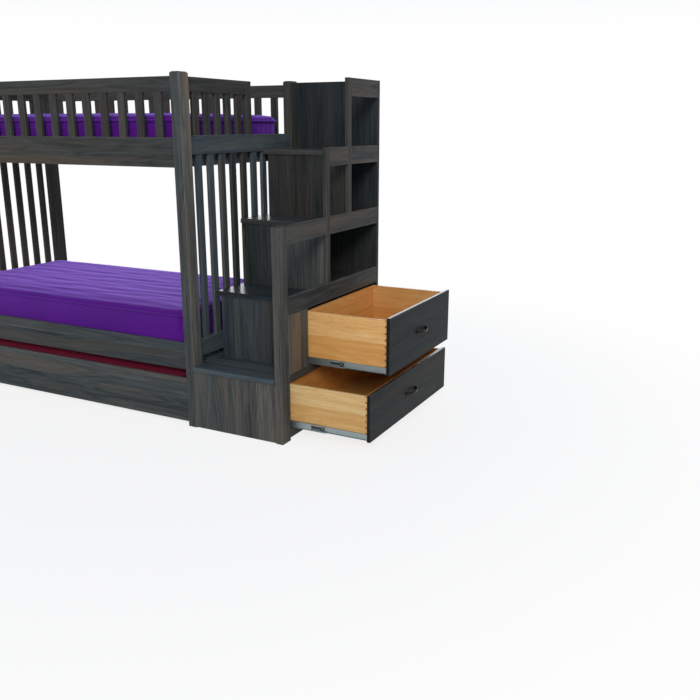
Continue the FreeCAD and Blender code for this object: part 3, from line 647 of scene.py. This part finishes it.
def make_mattress(node, body, finish):
    """Cover and tape edges of one mattress in place of its CAD solid."""
    margin = np.array([cover_margin, cover_margin, 0.0])
    low, high = (np.array(corner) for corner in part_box(node))
    low, high = low + margin, high - margin
    points, faces, count = mattress_shape(low, high)
    cover = new_piece(node + "_cover", points, faces, materials[finish])
    swell(cover, list(range(count, 2 * count)))
    smooth = cover.modifiers.new("smooth", "SUBSURF")
    smooth.levels = 1
    smooth.render_levels = 1
    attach(cover, body)
    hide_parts(node)
    tape_height = tape_height_share * roll
    for word, height in (("upper", high[2] - crown - tape_height), ("lower", low[2] + tape_height)):
        tape = new_piece(f"{node}_{word}_tape", *tape_shape(low, high, height), materials[finish])
        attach(tape, body)


make_mattress("lower_mattress", "bed_frame", "purple_ticking")
make_mattress("upper_mattress", "bed_frame", "purple_ticking")
make_mattress("trundle_mattress", "trundle", "red_ticking")


# Screws and rivets of the slides, in metres

# Rings of a head from the middle out and down to its base, as shares of its radius and its height, the
# height of the middle of its dish, and its sides
head_radius_shares = np.array([0.2, 0.34, 0.45, 0.75, 0.94, 1.0, 1.0])
head_height_shares = np.array([0.38, 0.85, 1.0, 0.92, 0.7, 0.4, 0.0])
dish_share, head_sides = 0.35, 16
# Radius and height of a screw's head and of a rivet's
screw_size, rivet_size = (0.0042, 0.0016), (0.0036, 0.0004)
# Places of the screws, back from the front end of the slide, and of the rivet, from the lever's rear end
screw_places, rivet_place = (0.04, 0.165, 0.36), 0.007
# Thickness of the slide's steel, which a screw's head lies on
member_sheet = 0.0012


def pan_head(name, centre, outward, size, body):
    """Closed pan head turned about Y: a dished middle for the driver, a domed top and an upright rim."""
    radius, height = size
    turn = np.arange(head_sides) * 2 * math.pi / head_sides
    across = radius * head_radius_shares[:, None]
    along = np.broadcast_to(outward * height * head_height_shares[:, None], (len(across), head_sides))
    rings = np.stack([across * np.cos(turn), along, across * np.sin(turn)], -1).reshape(-1, 3)
    points = np.concatenate([rings, [[0, outward * height * dish_share, 0]]]) + np.array(centre)
    number = np.arange(len(rings)).reshape(-1, head_sides)
    ahead = np.roll(number, -1, axis=1)
    dish = np.stack([np.full(head_sides, len(rings)), ahead[0], number[0]], -1)
    walls = np.stack([number[:-1], ahead[:-1], ahead[1:], number[1:]], -1).reshape(-1, 4)
    base = number[-1]
    if outward < 0:
        dish, walls, base = dish[:, ::-1], walls[:, ::-1], base[::-1]
    faces = dish.tolist() + walls.tolist() + [base.tolist()]
    piece = new_piece(name, points.tolist(), faces, materials["zinc_steel"])
    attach(piece, body)


def slide_screws(drawer):
    """Three screws through each drawer member into the drawer's side, and the rivet that holds the rear end
    of each release lever."""
    low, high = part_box(drawer + "_members")
    side_low, side_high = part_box(drawer + "_sides")
    lever_low, lever_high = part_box(drawer.replace("drawer", "release_levers"))
    middle = (low[2] + high[2]) / 2
    members = (("near", side_low[1] - member_sheet, -1), ("far", side_high[1] + member_sheet, 1))
    for word, y, outward in members:
        for count, back in enumerate(screw_places, 1):
            place = (high[0] - back, y, middle)
            pan_head(f"{drawer}_{word}_screw_{count}", place, outward, screw_size, drawer)
    levers = (("near", lever_low[1], -1), ("far", lever_high[1], 1))
    for word, y, outward in levers:
        place = (lever_low[0] + rivet_place, y, middle)
        pan_head(f"{drawer}_{word}_rivet", place, outward, rivet_size, drawer)


for drawer_name in ("upper_drawer", "lower_drawer"):
    slide_screws(drawer_name)


# Stage, light and camera

# Half width of the floor, and the distances from the bed's middle over which it turns white, in metres
floor_reach, white_start, white_full = 40.0, 1.6, 4.0
# Share of white in the floor under the bed
white_share = 0.8
# Sine of the angle of view upwards where the surroundings begin to cool and are coolest, and their strength
# as a light
cool_start, cool_full, world_light = 0.1, 0.6, 0.7
# Camera solved from the photo's straight edges: its place in metres, and how far it looks down and to the
# left of +Y, in degrees
camera_place, look_down, look_left = (3.054, -3.705, 1.537), 15.62, 27.34
focal_mm, film_mm = 41.44, 36.0


def shown(put):
    """One for rays that show the background: from the camera, a mirror-like surface or glass."""
    seen = put("LightPath", output="Is Camera Ray")
    for ray in ("Is Glossy Ray", "Is Transmission Ray"):
        seen = put("Math", {0: seen, 1: put("LightPath", output=ray)}, operation="MAXIMUM")
    return seen


def plain_floor():
    """Large pale floor under the bed, which shows as white away from the bed and keeps its shadow."""
    material, tree, shader = new_material("pale_floor")
    put = partial(add, tree)
    fill(tree, shader, {"Base Color": colour("#ededed"), "Roughness": 0.8, "Specular IOR Level": 0.1})
    away = put("VectorMath", {0: put("TexCoord", output="Object")}, "Value", operation="LENGTH")
    far = put("MapRange", {"Value": away, "From Min": white_start, "From Max": white_full,
                           "To Min": white_share}, interpolation_type="SMOOTHSTEP")
    share = put("Math", {0: far, 1: shown(put)}, operation="MULTIPLY")
    white = put("Emission", {"Color": colour("#ffffff"), "Strength": 1.0})
    blend = put("MixShader", {0: share, 1: shader.outputs[0], 2: white})
    fill(tree, tree.nodes["Material Output"], {"Surface": blend})
    corners = [(floor_reach * x, floor_reach * y, 0) for x, y in ((-1, -1), (1, -1), (1, 1), (-1, 1))]
    new_piece("floor", corners, [(0, 1, 2, 3)], material)


def soft_sun(name, toward, strength, spread, code):
    """Very wide sun, as a large softbox far away gives, shining along a direction."""
    light = bpy.data.lights.new(name, "SUN")
    light.energy = strength
    light.angle = math.radians(spread)
    light.color = colour(code)[:3]
    lamp = bpy.data.objects.new(name, light)
    scene.collection.objects.link(lamp)
    lamp.rotation_euler = Vector(toward).to_track_quat("-Z", "Y").to_euler()


def pale_world():
    """White at the horizon and cooler overhead where it is seen, and dimmer as a light."""
    world = bpy.data.worlds.new("studio")
    world.use_nodes = True
    tree = world.node_tree
    put = partial(add, tree)
    height = put("SeparateXYZ", {0: put("TexCoord", output="Generated")}, "Z")
    rise = put("MapRange", {"Value": height, "From Min": cool_start, "From Max": cool_full})
    sky = put("Mix", {0: rise, first_colour: colour("#ffffff"), second_colour: colour("#b1c1da")}, mixed,
              data_type="RGBA")
    strength = put("MapRange", {"Value": shown(put), "To Min": world_light, "To Max": 1.0})
    fill(tree, tree.nodes["Background"], {"Color": sky, "Strength": strength})
    scene.world = world


def photo_camera():
    """Camera at the photo's place and angle."""
    lens = bpy.data.cameras.new("photo_camera")
    lens.lens = focal_mm
    lens.sensor_width = film_mm
    camera = bpy.data.objects.new("photo_camera", lens)
    scene.collection.objects.link(camera)
    camera.location = camera_place
    camera.rotation_euler = (math.radians(90 - look_down), 0, math.radians(look_left))
    scene.camera = camera


plain_floor()
soft_sun("key", toward=(-0.42, 0.74, -0.52), strength=1.95, spread=22, code="#fffbf4")
soft_sun("back", toward=(0.43, -0.86, -0.28), strength=0.4, spread=24, code="#f9fdff")
pale_world()
photo_camera()
scene.view_settings.view_transform = "Standard"
